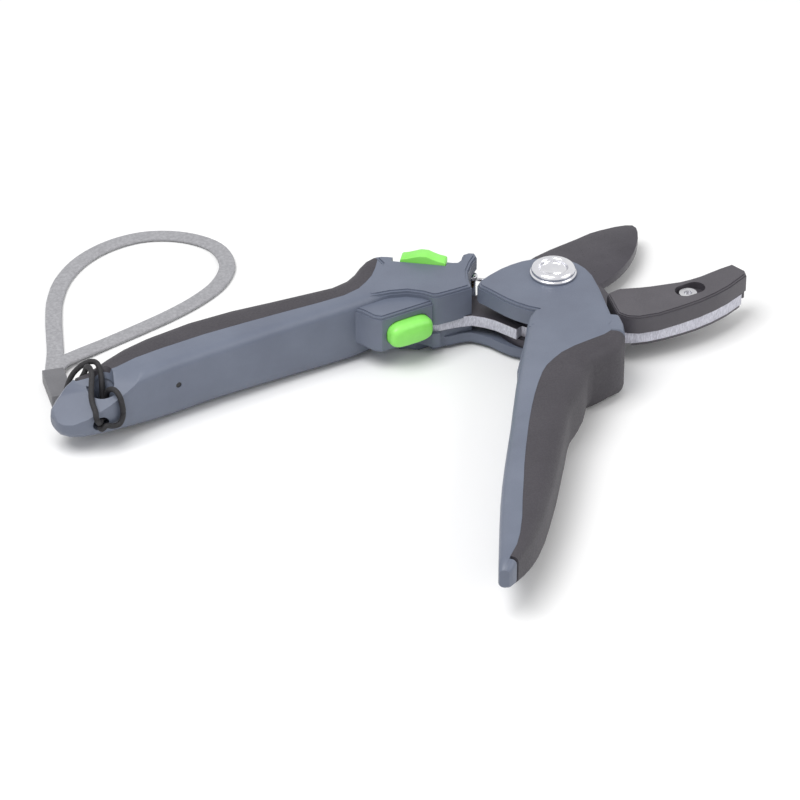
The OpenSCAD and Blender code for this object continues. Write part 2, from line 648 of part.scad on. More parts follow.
module lower_shell() {
    color("slategray") difference() {
        union() {
            half_handle(MAIN, false);
            translate([0, 0, 0]) intersection() {
                translate([0, 0, mid_z]) mirror([0, 0, 1]) slab(HEAD, 0, mid_z, 1.2);
                union() {
                    block(-47.8, -38, 13.5, 45, 0, mid_z);
                    block(-45, -38, 0, 14, 3, mid_z);
                    block(-40, -10, 18, 45, 0, mid_z);
                }
            }
            translate([0, 0, mid_z]) mirror([0, 0, 1]) boss(0, mid_z - boss_z0);
            translate([0, 0, tray_top]) mirror([0, 0, 1]) slab(TRAY, 0, tray_top - tray_z, 1);
        }
        handle_hollow(floor_z, mid_z + 1);
        head_hollow(head_room_z, mid_z + 1);
        button_opening();
        eye_cut();
        status_hole();
        post_space();
        lever_sweep();
        drive_pockets();
        grip_solid(MAIN);
        slider_opening();
        for (p = PLATE_SCREWS) bore(p[0], p[1], plate_screw_r, tray_z + 0.8, plate_z + 1);
        yoke_channel();
        block(-41, -20, 7, 16.9, plate_z, mid_z + 1);
        bore(0, 0, bolt_r + running_fit, -1, tray_top + 1);
        bore(0, 0, nut_r + pocket_gap, -1, nut_h);
        for (p = SHELL_SCREWS) {
            bore(p[0], p[1], fastener_r + 0.15, -1, mid_z + 1);
            bore(p[0], p[1], fastener_head_r + 0.2, -1, p[2] + fastener_head_h + 0.1);
        }
        block(port_x - port_w / 2 - 0.2, port_x + port_w / 2 + 0.2, port_y - port_h / 2 - 0.2,
            port_y + port_h / 2 + 0.2, -1, port_z + port_len - 0.9);
    }
    color("slategray") difference() {
        translate([0, 0, tray_z + 0.2]) linear_extrude(plate_z - tray_z - 0.2) polygon(PLATE_SEAT);
        yoke_channel();
        bore(0, 0, blade_root_r + 0.6, tray_top, plate_z + 1);
        for (p = PLATE_SCREWS) bore(p[0], p[1], plate_screw_r, tray_z + 0.8, plate_z + 1);
    }
    color("slategray") for (p = BOSSED_SCREWS) difference() {
        bore(p[0], p[1], fastener_head_r + 0.9, 1.6, mid_z);
        bore(p[0], p[1], fastener_r + 0.15, -1, mid_z + 1);
        bore(p[0], p[1], fastener_head_r + 0.2, -1, p[2] + fastener_head_h + 0.1);
    }
}

module main_grip() {
    color([0.2, 0.19, 0.21]) difference() {
        grip_solid(MAIN);
        eye_cut();
        tail_facet();
        slider_opening();
        for (p = SHELL_SCREWS) bore(p[0], p[1], fastener_head_r + 0.2, -1, p[2] + fastener_head_h + 1.2);
    }
}

module shell_screws() {
    color("silver") for (p = SHELL_SCREWS) {
        bore(p[0], p[1], fastener_r - 0.02, p[2], ceiling_z - 1);
        bore(p[0], p[1], fastener_head_r, p[2], p[2] + fastener_head_h);
    }
}

// ---- Jaws ----

module anvil_plate() {
    color([0.75, 0.75, 0.78]) difference() {
        translate([0, 0, plate_z]) linear_extrude(plate_t) polygon(PLATE);
        bore(0, 0, bolt_r + running_fit, plate_z - 1, plate_top + 1);
        bore(pad_screw_x, pad_screw_y, 1.9, plate_z - 1, plate_top + 1);
        for (p = PLATE_SCREWS) bore(p[0], p[1], plate_screw_r + 0.1, plate_z - 1, plate_top + 1);
    }
}

module plate_screws() {
    color("silver") for (p = PLATE_SCREWS) {
        bore(p[0], p[1], plate_screw_r - 0.02, tray_z + 0.8, plate_top + 0.2);
        bore(p[0], p[1], 1.9, plate_top, plate_top + 1.4);
    }
}

// Fine teeth along the pad's gripping edge
tooth = 0.7;
module pad_teeth() {
    for (i = [0 : 32]) let (x = 20.6 + i * 1.12, y = pad_edge_y(x))
        translate([x, y, plate_top + 1.2]) rotate([0, 0, 45])
            cube([tooth, tooth, pad_over], center = false);
}
function pad_edge_y(x) = lookup(x, [
    [17.9, -12], [21.2, -13.4], [24.2, -14.7], [27.3, -15.8], [30.6, -16.7], [33.9, -17.6],
    [37.2, -18.5], [40.9, -18.9], [44.7, -19], [48.9, -18.6], [53.1, -18.2], [57.9, -18.1]
]) - 0.35;

module anvil_pad() {
    color([0.24, 0.23, 0.25]) difference() {
        union() {
            slab(PAD, plate_top, plate_top + pad_over, 0.8);
            translate([0, 0, plate_z - pad_under]) linear_extrude(pad_under) polygon(LIP);
            translate([0, 0, plate_z - skirt_t]) linear_extrude(skirt_t) polygon(SKIRT);
            difference() {
                intersection() {
                    translate([0, 0, plate_z - cut]) linear_extrude(plate_t + 2 * cut) polygon(PAD);
                    block(23, 70, -24, 0, 0, handle_h);
                }
                translate([0, 0, plate_z - 1]) linear_extrude(plate_t + 2)
                    polygon(inset(PLATE, -pocket_gap));
            }
        }
        pad_teeth();
        bore(pad_screw_x, pad_screw_y, 1.9, 0, plate_top + pad_over + 1);
        hull() for (dx = [-pad_recess_l / 2, pad_recess_l / 2])
            translate([pad_screw_x + dx + 1, pad_screw_y + 0.4, plate_top + pad_over - 2.6])
                cylinder(r = pad_screw_r + 0.4, h = 5, $fn = 32);
    }
}

module anvil_screw() {
    head_z = plate_top + pad_over - 2.5;
    color("silver") difference() {
        union() {
            bore(pad_screw_x, pad_screw_y, 1.8, plate_z - skirt_t + 0.1, head_z + 0.5);
            bore(pad_screw_x, pad_screw_y, pad_screw_r, head_z, head_z + 1.6);
        }
        bore(pad_screw_x, pad_screw_y, 1.3, head_z + 0.7, head_z + 3);
    }
}

module blade() {
    on_lever() color([0.25, 0.24, 0.26]) difference() {
        union() {
            translate([0, 0, blade_z]) linear_extrude(blade_t) polygon(BLADE);
            bore(0, 0, blade_root_r, blade_z, blade_z + blade_t);
            block(tang_x, -12, tang_y0, tang_y1, blade_z, blade_z + blade_t);
        }
        bore(0, 0, bolt_r + running_fit, blade_z - 1, blade_z + blade_t + 1);
        bore(pin_arm * cos(pin_angle - lever_angle), pin_arm * sin(pin_angle - lever_angle),
            pin_r + 0.02, blade_z - 1, blade_z + blade_t + 1);
        bore(LEVER_SCREWS[0][0], LEVER_SCREWS[0][1], fastener_r + 0.2, blade_z - 1, blade_z + blade_t + 1);
    }
}

module drive_pin() {
    color("silver") bore(pin_x, pin_y, pin_r, yoke_z0, blade_z + blade_t);
}

// ---- Pivot ----

nut_r = 6.4;
nut_h = 2.6;

module pivot_bolt() {
    color("silver") difference() {
        union() {
            bore(0, 0, bolt_r, 0.7, handle_h + 0.5);
            bore(0, 0, bolt_head_r, handle_h, handle_h + bolt_head_h * 0.55);
            translate([0, 0, handle_h + bolt_head_h * 0.55])
                cylinder(r1 = bolt_head_r, r2 = bolt_head_r * 0.7, h = bolt_head_h * 0.45);
        }
        bore(0, 0, bolt_head_r * 0.6, handle_h + 1.2, handle_h + bolt_head_h + 1);
    }
}

module pivot_nut() {
    color("silver") difference() {
        bore(0, 0, nut_r, 0, nut_h - 0.1);
        bore(0, 0, bolt_r + 0.02, 0.6, nut_h + 1);
        for (a = [0, 180]) rotate([0, 0, a]) translate([5.4, 0, -1]) cylinder(r = 0.7, h = 2.4);
    }
}

module pivot_spacer() {
    color("silver") difference() {
        bore(0, 0, bolt_r + 1.6, plate_top, cap_z - slide_gap);
        bore(0, 0, bolt_r + running_fit, plate_top - 1, cap_z + 1);
    }
}

module spring_post() {
    color("silver") difference() {
        union() {
            bore(post_x, post_y, post_r, tray_top, post_top - 1.4);
            translate([post_x, post_y, post_top - 2.4]) cylinder(r1 = post_r, r2 = 2.1, h = 2.4);
        }
        translate([post_x, post_y, post_top - 1.4]) cylinder(r1 = 0.9, r2 = 1.8, h = 1.5);
    }
}

// Torsion spring: a coil round the spacer, one leg to the post and one to the lever
coil_steps = ceil(spring_turns * 14);
coil_start = 55;
function coil_point(k) =
    let (a = coil_start - 360 * spring_turns * k / coil_steps)
    [spring_r * cos(a), spring_r * sin(a), spring_z + spring_pitch * spring_turns * k / coil_steps];
coil_end = coil_start - 360 * spring_turns;
coil_end_z = spring_z + spring_pitch * spring_turns;
leg_end = [post_x + 2.1, post_y + 1.6, spring_z];
function hook_point(r, a, z) = [r * cos(coil_end - a), r * sin(coil_end - a), z];
SPRING = concat(
    [leg_end, leg_end * 0.75 + coil_point(0) * 0.25, leg_end * 0.4 + coil_point(0) * 0.6],
    [for (k = [0 : coil_steps]) coil_point(k)],
    [hook_point(9.2, 28, coil_end_z), hook_point(11.6, 45, coil_end_z + 0.5),
        hook_point(12.2, 48, coil_end_z + 1.2), hook_point(12.4, 49, coil_end_z + 2.2)]
);
echo(least_gap_between_spring_turns = spring_pitch - spring_wire);

module opening_spring() {
    color("gainsboro") skin_solid([
        for (i = [0 : len(SPRING) - 1])
            let (
                t = route_dir(SPRING, i),
                side = unit(cross([0, 0, 1], t)),
                up = cross(t, side)
            )
            [for (k = [0 : 5]) let (a = -60 * k)
                SPRING[i] + side * (spring_wire / 2 * cos(a)) + up * (spring_wire / 2 * sin(a))]
    ]);
}

// ---- Electrics and drive inside the main handle ----

module battery_cell() {
    color("royalblue") translate([cell_x, cell_y, mid_z]) rotate([0, 90, 0])
        cylinder(r = cell_d / 2, h = cell_len);
}

module cell_contacts() {
    color("silver") for (x = [cell_x - contact_t - 0.1, cell_x + cell_len + 0.1])
        translate([x, cell_y, mid_z]) rotate([0, 90, 0]) cylinder(r = 4.5, h = contact_t);
}

board_x = -62;
board_y = 20.7;
board_l = 14;
board_w = 8.6;
board_t = 1.2;
module circuit_board() {
    color("darkgreen") block(board_x, board_x + board_l, board_y, board_y + board_w,
        ceiling_z - 0.2 - board_t, ceiling_z - 0.2);
    color("black") block(board_x + 3, board_x + 7, board_y + 2, board_y + 6,
        ceiling_z - 0.2 - board_t - 0.9, ceiling_z - 0.2 - board_t + 0.1);
}

port_x = -144.5;
port_y = 20;
port_z = 2.6;
port_w = 8.2;
port_h = 3.3;
port_len = 7.4;
module charging_socket() {
    color("silver") difference() {
        block(port_x - port_w / 2, port_x + port_w / 2, port_y - port_h / 2, port_y + port_h / 2,
            port_z, port_z + port_len - 1.2);
        block(port_x - port_w / 2 + 0.3, port_x + port_w / 2 - 0.3, port_y - port_h / 2 + 0.3,
            port_y + port_h / 2 - 0.3, 0, port_z + port_len - 2.6);
    }
    color("black") block(port_x - 3, port_x + 3, port_y - 0.35, port_y + 0.35, port_z + 1.2, port_z + port_len - 2);
}

switch_x = -53.7;
module trigger_switch() {
    color("dimgray") block(switch_x - 3, switch_x + 3, button_back_y + button_travel + 0.6, 18.6,
        button_z - 3, button_z + 3);
    color("orange") translate([switch_x, button_back_y + button_travel + 0.2, button_z]) rotate([-90, 0, 0])
        cylinder(r = 0.8, h = 1);
}

module power_switch() {
    color("dimgray") translate([slider_x, slider_y, 0]) rotate([0, 0, slider_turn])
        block(-8, -2, -7.4, -wall - 2.2, 16, 20);
}

module motor() {
    color("silver") intersection() {
        translate([motor_x, motor_y, mid_z]) rotate([0, 90, 0]) cylinder(r = motor_h / 2, h = motor_len);
        block(motor_x - 1, motor_x + motor_len + 1, motor_y - motor_w / 2, motor_y + motor_w / 2, 0, handle_h);
    }
}

module gearbox() {
    color("goldenrod") difference() {
        block(gear_x, gear_x + gear_len, screw_y - 1.4, motor_y + motor_w / 2,
            mid_z - motor_h / 2, mid_z + motor_h / 2);
        translate([gear_x + gear_len - 3, screw_y, mid_z]) rotate([0, 90, 0])
            cylinder(r = screw_r - 0.8 + running_fit, h = 4);
    }
}

module lead_screw() {
    color("silver") translate([screw_x0 + 0.2, screw_y, mid_z]) rotate([0, 90, 0])
        cylinder(r = screw_r, h = screw_x1 - bearing_l - screw_x0 - 0.2);
    color("silver") translate([screw_x0 - 2.6, screw_y, mid_z]) rotate([0, 90, 0])
        cylinder(r = screw_r - 0.8, h = screw_x1 - screw_x0 + 2.6);
}

module screw_bearing() {
    color("silver") difference() {
        translate([screw_x1 - bearing_l + 0.2, screw_y, mid_z]) rotate([0, 90, 0])
            cylinder(r = bearing_od, h = bearing_l - 0.2);
        translate([screw_x1 - bearing_l - 1, screw_y, mid_z]) rotate([0, 90, 0])
            cylinder(r = screw_r - 0.8 + running_fit, h = bearing_l + 3);
    }
}

// Nut on the lead screw, with an arm along the tray that pushes the blade's pin
module drive_yoke() {
    color([0.7, 0.6, 0.35]) difference() {
        union() {
            block(nut_x - nut_l, nut_x, screw_y - nut_w / 2, screw_y + nut_w / 2,
                mid_z - nut_w / 2, mid_z + nut_w / 2);
            block(arm_back_x, nut_x, screw_y - nut_w / 2, screw_y + nut_w / 2, yoke_z0, mid_z);
            block(arm_back_x, arm_back_x + 10, arm_back_y, arm_back_y + arm_w, yoke_z0, yoke_z1);
            block(arm_back_x + 8, pin_x + pin_r, arm_y, yoke_y1, yoke_z0, yoke_z1);
            block(pin_x - pin_r - slot_gap - yoke_rim, pin_x + pin_r + slot_gap + yoke_rim + 1,
                yoke_y0, yoke_y1, yoke_z0, yoke_z1);
        }
        translate([nut_x - nut_l - 1, screw_y, mid_z]) rotate([0, 90, 0])
            cylinder(r = screw_r + running_fit, h = nut_l + 2);
        block(pin_x - pin_r - slot_gap, pin_x + pin_r + slot_gap, pin_y - pin_r - 0.4, pin_arm + pin_r + 0.4,
            0, tray_top + 1);
    }
}

module status_light() {
    color([0.1, 0.1, 0.12]) translate([-129.5, 15.9, 14]) rotate([-90, 0, 0]) cylinder(r = 0.95, h = 1.8);
}

wire_r = 0.55;
module wiring() {
    for (w = [[26, 19.2, "red"], [27.3, 19.2, "black"]]) color(w[2])
        translate([cell_x + cell_len - 6, w[0], w[1]]) rotate([0, 90, 0])
            cylinder(r = wire_r, h = board_x - cell_x - cell_len + 5.6, $fn = 16);
}

// ---- Controls ----

module start_button() {
    z0 = button_z - button_h / 2;
    color([0.5, 0.85, 0.35]) union() {
        for (step = [[0, 1.6], [0.5, 0.7], [1.3, 0]])
            rounded_prism(button_w - 2 * step[0], button_h - 2 * step[0], button_corner_r - step[0] * 0.5,
                button_face_y + step[1], button_back_y - 0.2);
        block(button_x - button_w / 2 - flange, button_x + button_w / 2 + flange,
            button_back_y - flange_t, button_back_y, z0 - flange, z0 + button_h + flange);
    }
}

// Slider's outline seen from behind: [place along the wall, height above the top face]
SLIDER = [
    [-0.5, 0.4], [-0.47, 0.9], [-0.36, 1.2], [-0.24, 1.8], [-0.1, 2.6], [0.1, 2.6], [0.22, 1.8],
    [0.34, 1.2], [0.47, 0.9], [0.5, 0.4]
];
module lock_slider() {
    color([0.5, 0.85, 0.35]) translate([slider_x, slider_y, 0]) rotate([0, 0, slider_turn]) {
        translate([0, slider_proud, 0]) rotate([90, 0, 0]) linear_extrude(slider_proud + wall + 1)
            polygon(concat(
                [[slider_l / 2, slider_z0], [-slider_l / 2, slider_z0]],
                [for (p = SLIDER) [p[0] * slider_l, handle_h + p[1]]]
            ));
        block(-slider_l / 2 - slider_lip, slider_l / 2 + slider_lip, -wall - 1.4, -wall - button_gap / 3,
            slider_z0 - slider_lip, ceiling_z - 0.4);
    }
}

// ---- Lever ----

module disc_space() {
    bore(0, 0, disc_clear_r, -1, cap_z);
}

module tang_space() {
    block(tang_x - pocket_gap, 0, tang_y0 - pocket_gap, tang_y1 + pocket_gap,
        blade_z - pocket_gap, blade_z + blade_t + pocket_gap);
}

module lever_half(top) {
    mirror([0, 1, 0]) half_handle(LEVER, top);
    intersection() {
        translate([0, 0, striker_z0]) linear_extrude(striker_z1 - striker_z0) polygon(STRIKER);
        block(-80, 0, -10, 20, top ? mid_z : 0, top ? handle_h : mid_z);
    }
}

module lever_hollow(z0, z1) {
    mirror([0, 1, 0]) translate([0, 0, z0]) linear_extrude(z1 - z0) polygon(hollow(LEVER, 9, 13, wall));
}

module lever_top_shell() {
    on_lever() color("slategray") difference() {
        union() {
            lever_half(true);
            slab(CAP, cap_z - 1, handle_h, 1.2);
        }
        disc_space();
        lever_hollow(mid_z - 1, ceiling_z);
        bore(0, 0, bolt_r + running_fit, cap_z - 1, handle_h + 1);
        rotate([0, 0, -lever_angle]) translate(hook_point(12.3, 48.5, cap_z - 1))
            cylinder(r = spring_wire / 2 + 0.6, h = 3);
        for (p = LEVER_SCREWS) bore(p[0], p[1], fastener_r, mid_z - 1, ceiling_z);
    }
}

module lever_bottom_shell() {
    on_lever() color("slategray") difference() {
        lever_half(false);
        disc_space();
        lever_hollow(head_room_z, mid_z + 1);
        tang_space();
        for (p = LEVER_SCREWS) {
            bore(p[0], p[1], fastener_r + 0.15, -1, mid_z + 1);
            bore(p[0], p[1], fastener_head_r + 0.2, -1, p[2] + fastener_head_h + 0.1);
        }
    }
}

module lever_grip() {
    on_lever() color([0.2, 0.19, 0.21]) difference() {
        mirror([0, 1, 0]) grip_solid(LEVER);
        for (p = LEVER_SCREWS) bore(p[0], p[1], fastener_head_r + 0.2, -1, p[2] + fastener_head_h + 1.2);
    }
}

module lever_screws() {
    on_lever() color("silver") for (p = LEVER_SCREWS) {
        bore(p[0], p[1], fastener_r - 0.02, p[2], ceiling_z - 1);
        bore(p[0], p[1], fastener_head_r, p[2], p[2] + fastener_head_h);
    }
}

// ---- Lanyard ----

module lanyard_cord() {
    color("black") tube(CORD, cord_d, cord_d);
}

module lanyard_ferrule() {
    color("dimgray") translate([ferrule_x, ferrule_y, 0]) rotate([0, 0, ferrule_turn]) difference() {
        block(-ferrule_w / 2, ferrule_w / 2, -ferrule_l / 2, ferrule_l / 2, 0, ferrule_h);
        block(-strap_w / 2 - 0.4, strap_w / 2 + 0.4, ferrule_l / 2 - ferrule_slot, ferrule_l,
            -1, strap_z + 1.5 * strap_t + 0.9);
    }
}

strap_z = strap_t / 2 + 0.1;
module wrist_strap() {
    color("darkgray") tube([for (p = STRAP) [p[0], p[1], strap_z + p[2] * (strap_t + 0.3)]],
        strap_w, strap_t);
}

upper_shell();
lower_shell();
main_grip();
anvil_plate();
anvil_pad();
anvil_screw();
plate_screws();
pivot_bolt();
pivot_nut();
pivot_spacer();
spring_post();
opening_spring();
battery_cell();
cell_contacts();
circuit_board();
charging_socket();
trigger_switch();
power_switch();
motor();
gearbox();
screw_bearing();
shell_screws();
status_light();
wiring();
lanyard_cord();
lanyard_ferrule();
wrist_strap();
lever_top_shell();
lever_bottom_shell();
lever_grip();
blade();
drive_pin();
lever_screws();
start_button();
lock_slider();
lead_screw();
drive_yoke();
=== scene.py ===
import math

import bpy
import numpy as np
from mathutils import Matrix, Vector


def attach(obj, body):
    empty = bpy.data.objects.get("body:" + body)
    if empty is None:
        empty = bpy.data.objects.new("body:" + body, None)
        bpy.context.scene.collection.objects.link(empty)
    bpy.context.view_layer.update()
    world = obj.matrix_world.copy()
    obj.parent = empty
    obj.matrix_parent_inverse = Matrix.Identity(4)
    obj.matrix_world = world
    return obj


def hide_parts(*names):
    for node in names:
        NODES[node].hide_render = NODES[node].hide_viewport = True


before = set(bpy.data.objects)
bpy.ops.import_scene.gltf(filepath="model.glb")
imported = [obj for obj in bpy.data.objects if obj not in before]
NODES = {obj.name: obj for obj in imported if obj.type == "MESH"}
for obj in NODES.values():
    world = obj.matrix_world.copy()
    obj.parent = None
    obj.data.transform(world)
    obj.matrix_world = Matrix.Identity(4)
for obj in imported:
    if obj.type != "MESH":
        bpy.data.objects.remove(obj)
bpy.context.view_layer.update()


# ---------------------------------------------------------------- camera

MM = 0.001
FRAME_PX = 800.0
SENSOR_MM = 36.0
LENS_MM = 200.0


def place_camera(pivot_px, pivot_z, azimuth, elevation, px_per_mm):
    """A long-lens camera that puts the pivot's axis, at height pivot_z, on one pixel of the square frame."""
    focal_px = LENS_MM / SENSOR_MM * FRAME_PX
    a, e = math.radians(90.0 + azimuth), math.radians(elevation)
    forward = Vector((math.cos(a) * math.cos(e), math.sin(a) * math.cos(e), -math.sin(e)))
    right = Vector((math.sin(a), -math.cos(a), 0.0))
    up = right.cross(forward)
    distance = focal_px / px_per_mm * MM
    target = Vector((0.0, 0.0, pivot_z))
    x = (pivot_px[0] - FRAME_PX / 2) / focal_px * distance
    y = (FRAME_PX / 2 - pivot_px[1]) / focal_px * distance
    cam = bpy.data.objects.new("camera", bpy.data.cameras.new("camera"))
    bpy.context.scene.collection.objects.link(cam)
    cam.data.lens = LENS_MM
    cam.data.sensor_width = SENSOR_MM
    cam.data.clip_start, cam.data.clip_end = 0.05, 20.0
    cam.location = target - forward * distance - right * x - up * y
    turn = Matrix((right, up, -forward)).transposed()
    cam.rotation_mode = "QUATERNION"
    cam.rotation_quaternion = turn.to_quaternion()
    bpy.context.scene.camera = cam


place_camera(pivot_px=(553.2, 273.7), pivot_z=0.023, azimuth=-30.4, elevation=33.6, px_per_mm=3.08)


# ---------------------------------------------------------------- surfaces

def ring_surface(name, rings):
    """A smooth skin through an (n, m, 3) array of closed rings, in metres, with its ends closed by fans."""
    n, m, _ = rings.shape
    i, j = np.meshgrid(np.arange(n - 1), np.arange(m), indexing="ij")
    k = (j + 1) % m
    quads = np.stack([i * m + j, i * m + k, (i + 1) * m + k, (i + 1) * m + j], -1).reshape(-1, 4)
    points = np.vstack([rings.reshape(-1, 3), rings[0].mean(0), rings[-1].mean(0)])
    around = np.arange(m)
    following = (around + 1) % m
    last = (n - 1) * m
    faces = quads.tolist()
    faces += np.stack([following, around, np.full(m, n * m)], 1).tolist()
    faces += np.stack([last + around, last + following, np.full(m, n * m + 1)], 1).tolist()
    mesh = bpy.data.meshes.new(name)
    mesh.from_pydata(points.tolist(), [], faces)
    mesh.polygons.foreach_set("use_smooth", np.ones(len(mesh.polygons), bool))
    mesh.update()
    obj = bpy.data.objects.new(name, mesh)
    bpy.context.scene.collection.objects.link(obj)
    return obj


def smooth_route(points, per_span):
    """Points of a Catmull-Rom curve, per_span of them from each given point to the next:
    p(t) = half of (2b + (c - a)t + (2a - 5b + 4c - d)t^2 + (3b - a - 3c + d)t^3)."""
    p = np.asarray(points, float)
    p = np.vstack([2 * p[0] - p[1], p, 2 * p[-1] - p[-2]])
    a, b, c, d = p[:-3, None], p[1:-2, None], p[2:-1, None], p[3:, None]
    t = (np.arange(per_span) / per_span)[None, :, None]
    curve = 0.5 * (2 * b + (c - a) * t + (2 * a - 5 * b + 4 * c - d) * t ** 2
                   + (3 * b - a - 3 * c + d) * t ** 3)
    return np.vstack([curve.reshape(-1, 3), p[-2]])


def superellipse(angles, n):
    """Points of |x|^n + |y|^n = 1 at the given angles."""
    c, s = np.cos(angles), np.sin(angles)
    return np.sign(c) * np.abs(c) ** (2 / n), np.sign(s) * np.abs(s) ** (2 / n)


def tube(name, route, width, height, sides, squareness=2.0):
    """A tube along a route whose section is |x|^n + |y|^n = 1 with n = squareness; its flat side stays level."""
    way = np.gradient(route, axis=0)
    way /= np.linalg.norm(way, axis=1, keepdims=True)
    side = np.cross([0.0, 0.0, 1.0], way)
    side /= np.linalg.norm(side, axis=1, keepdims=True)
    up = np.cross(way, side)
    u, v = superellipse(-np.linspace(0.0, 2.0 * np.pi, sides, endpoint=False), squareness)
    u, v = (u * width / 2)[None, :, None], (v * height / 2)[None, :, None]
    return ring_surface(name, route[:, None] + side[:, None] * u + up[:, None] * v)


# ---------------------------------------------------------------- lanyard

# The cord's route from the tab over the hump, through the eye and back, in millimetres
CORD_ROUTE = [
    [-157.5, 40.9, 3.1], [-157.9, 39.8, 5], [-157.7, 38, 10.6], [-156.8, 35.6, 16],
    [-154.8, 33, 20], [-152.8, 30.2, 22.4], [-151.9, 27.6, 22.7], [-152.2, 25, 20.7],
    [-153, 22.8, 17.8], [-153.7, 21.4, 13.8], [-154.3, 20.2, 11.2], [-155.9, 17.6, 9.7],
    [-158, 14.8, 9.6], [-159.2, 12.9, 9.7], [-158.9, 11.7, 9.5], [-157.4, 11.6, 10.4],
    [-155.2, 11.8, 9.4], [-152.8, 12, 9.2], [-151.5, 12.1, 11], [-151.2, 12.1, 13.4],
    [-151.5, 12, 16], [-151.9, 12.4, 18.6], [-152.3, 14.2, 20.1], [-152.8, 16.4, 19.8],
    [-153.2, 18.6, 17.8], [-153.4, 19.2, 14.8], [-154.5, 18.6, 12.4], [-156.4, 16, 11.4],
    [-158.4, 13.6, 11.3], [-159.8, 12, 12], [-160.8, 11.6, 14.2], [-160.5, 12.8, 16.1],
    [-159.7, 16.3, 17], [-158.6, 19.2, 18.2], [-157, 22, 19.9], [-155.4, 24.8, 21.7],
    [-154.9, 27.4, 22.4], [-154.8, 29.6, 21.3], [-154.4, 32, 17.8], [-155, 34.4, 13.6],
    [-156, 37.2, 8], [-156.3, 39.2, 4.8], [-156.3, 40.4, 3.3],
]
# The strap's route on the table: x, y and layer
STRAP_ROUTE = [
    [-154.6, 54, 0], [-153, 58.4, 0], [-150, 64, 0], [-146, 71, 0], [-142, 79.5, 0], [-137.5, 89, 0],
    [-132, 99, 0], [-124, 109, 0], [-113, 117, 0], [-100, 121, 0], [-87, 120, 0], [-76, 113, 0],
    [-70, 102, 0], [-72, 90, 0], [-80, 81, 0], [-91, 75.5, 0], [-103, 72, 0], [-116, 69.5, 0],
    [-129, 67.4, 0], [-140, 65.2, 0.4], [-148, 62.4, 1], [-152.4, 58.6, 1], [-154.6, 54, 1],
]


CORD_D = 1.8 * MM
STRAP_W = 5.5 * MM
STRAP_T = 1.2 * MM
STRAP_Z = 0.7
LAYER_Z = 1.5


def soft_piece(name, node, route, width, height, sides, squareness=2.0):
    """A smooth tube along the route of a CAD solid, from the tab and back to it."""
    piece = tube(name, route, width, height, sides, squareness)
    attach(piece, "handle")
    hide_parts(node)
    return piece


cord_line = smooth_route(np.array(CORD_ROUTE) * MM, 5)
cord_piece = soft_piece("lanyard_cord_braid", "lanyard_cord", cord_line, CORD_D, CORD_D, 14)

strap_points = np.array(STRAP_ROUTE)
strap_points[:, 2] = STRAP_Z + strap_points[:, 2] * LAYER_Z
strap_line = smooth_route(strap_points * MM, 5)
strap_piece = soft_piece("wrist_strap_tape", "wrist_strap", strap_line, STRAP_W, STRAP_T, 20, 5.0)


# ---------------------------------------------------------------- materials

def srgb(hex_code):
    """An sRGB hex colour as linear RGBA."""
    c = np.array([int(hex_code[i:i + 2], 16) for i in (1, 3, 5)]) / 255.0
    lin = np.where(c <= 0.04045, c / 12.92, ((c + 0.055) / 1.055) ** 2.4)
    return (float(lin[0]), float(lin[1]), float(lin[2]), 1.0)


def add(tree, kind, settings=None, **inputs):
    """Adds a node; settings are its properties, and each input, named or numbered as i0, i1 and so on, is a
    value or another node's output."""
    node = tree.nodes.new(kind)
    for key, value in (settings or {}).items():
        setattr(node, key, value)
    for key, value in inputs.items():
        numbered = key[0] == "i" and key[1:].isdigit()
        socket = node.inputs[int(key[1:]) if numbered else key.replace("_", " ")]
        if isinstance(value, bpy.types.NodeSocket):
            tree.links.new(value, socket)
        else:
            socket.default_value = value
    return node


def new_material(name):
    """An empty node material with its Principled shader: (material, tree, shader)."""
    mat = bpy.data.materials.new(name)
    mat.use_nodes = True
    tree = mat.node_tree
    shader = next(n for n in tree.nodes if n.type == "BSDF_PRINCIPLED")
    return mat, tree, shader


def two_tone(ramp, dark, dark_at, light, light_at):
    """Sets the ends of a colour ramp."""
    low, high = ramp.elements[0], ramp.elements[1]
    low.position, low.color = dark_at, srgb(dark)
    high.position, high.color = light_at, srgb(light)


def speckled(name, base, dark, light, grain, rough, bump, metallic=0.0, mottling=0.02, rough_span=0.1):
    """A fine-grained finish: broad mottling between two tones, a grain of the stated size in metres that
    breaks the gloss, and a bump of the stated depth in metres."""
    mat, tree, shader = new_material(name)
    where = add(tree, "ShaderNodeTexCoord").outputs["Object"]
    broad = add(tree, "ShaderNodeTexNoise", Vector=where, Scale=1.0 / mottling, Detail=4.0, Roughness=0.6)
    fine = add(tree, "ShaderNodeTexNoise", Vector=where, Scale=1.0 / grain, Detail=3.0, Roughness=0.7)
    tone = add(tree, "ShaderNodeValToRGB", Fac=broad.outputs["Fac"])
    two_tone(tone.color_ramp, dark, 0.3, light, 0.72)
    middle = tone.color_ramp.elements.new(0.5)
    middle.color = srgb(base)
    tree.links.new(tone.outputs["Color"], shader.inputs["Base Color"])
    gloss = add(tree, "ShaderNodeMapRange", Value=fine.outputs["Fac"], From_Min=0.3, From_Max=0.7,
                To_Min=rough - rough_span, To_Max=rough + rough_span)
    tree.links.new(gloss.outputs["Result"], shader.inputs["Roughness"])
    relief = add(tree, "ShaderNodeBump", Height=fine.outputs["Fac"], Strength=1.0, Distance=bump)
    tree.links.new(relief.outputs["Normal"], shader.inputs["Normal"])
    shader.inputs["Metallic"].default_value = metallic
    return mat


# Glass-filled nylon, spark-eroded mould: an even satin slate grey with a grain of about 0.5 mm
BODY = speckled("slate_grey_glass_filled_nylon", "#636a7a", "#5d6373", "#6a7181", 0.0005, 0.42, 0.00003,
                mottling=0.03)
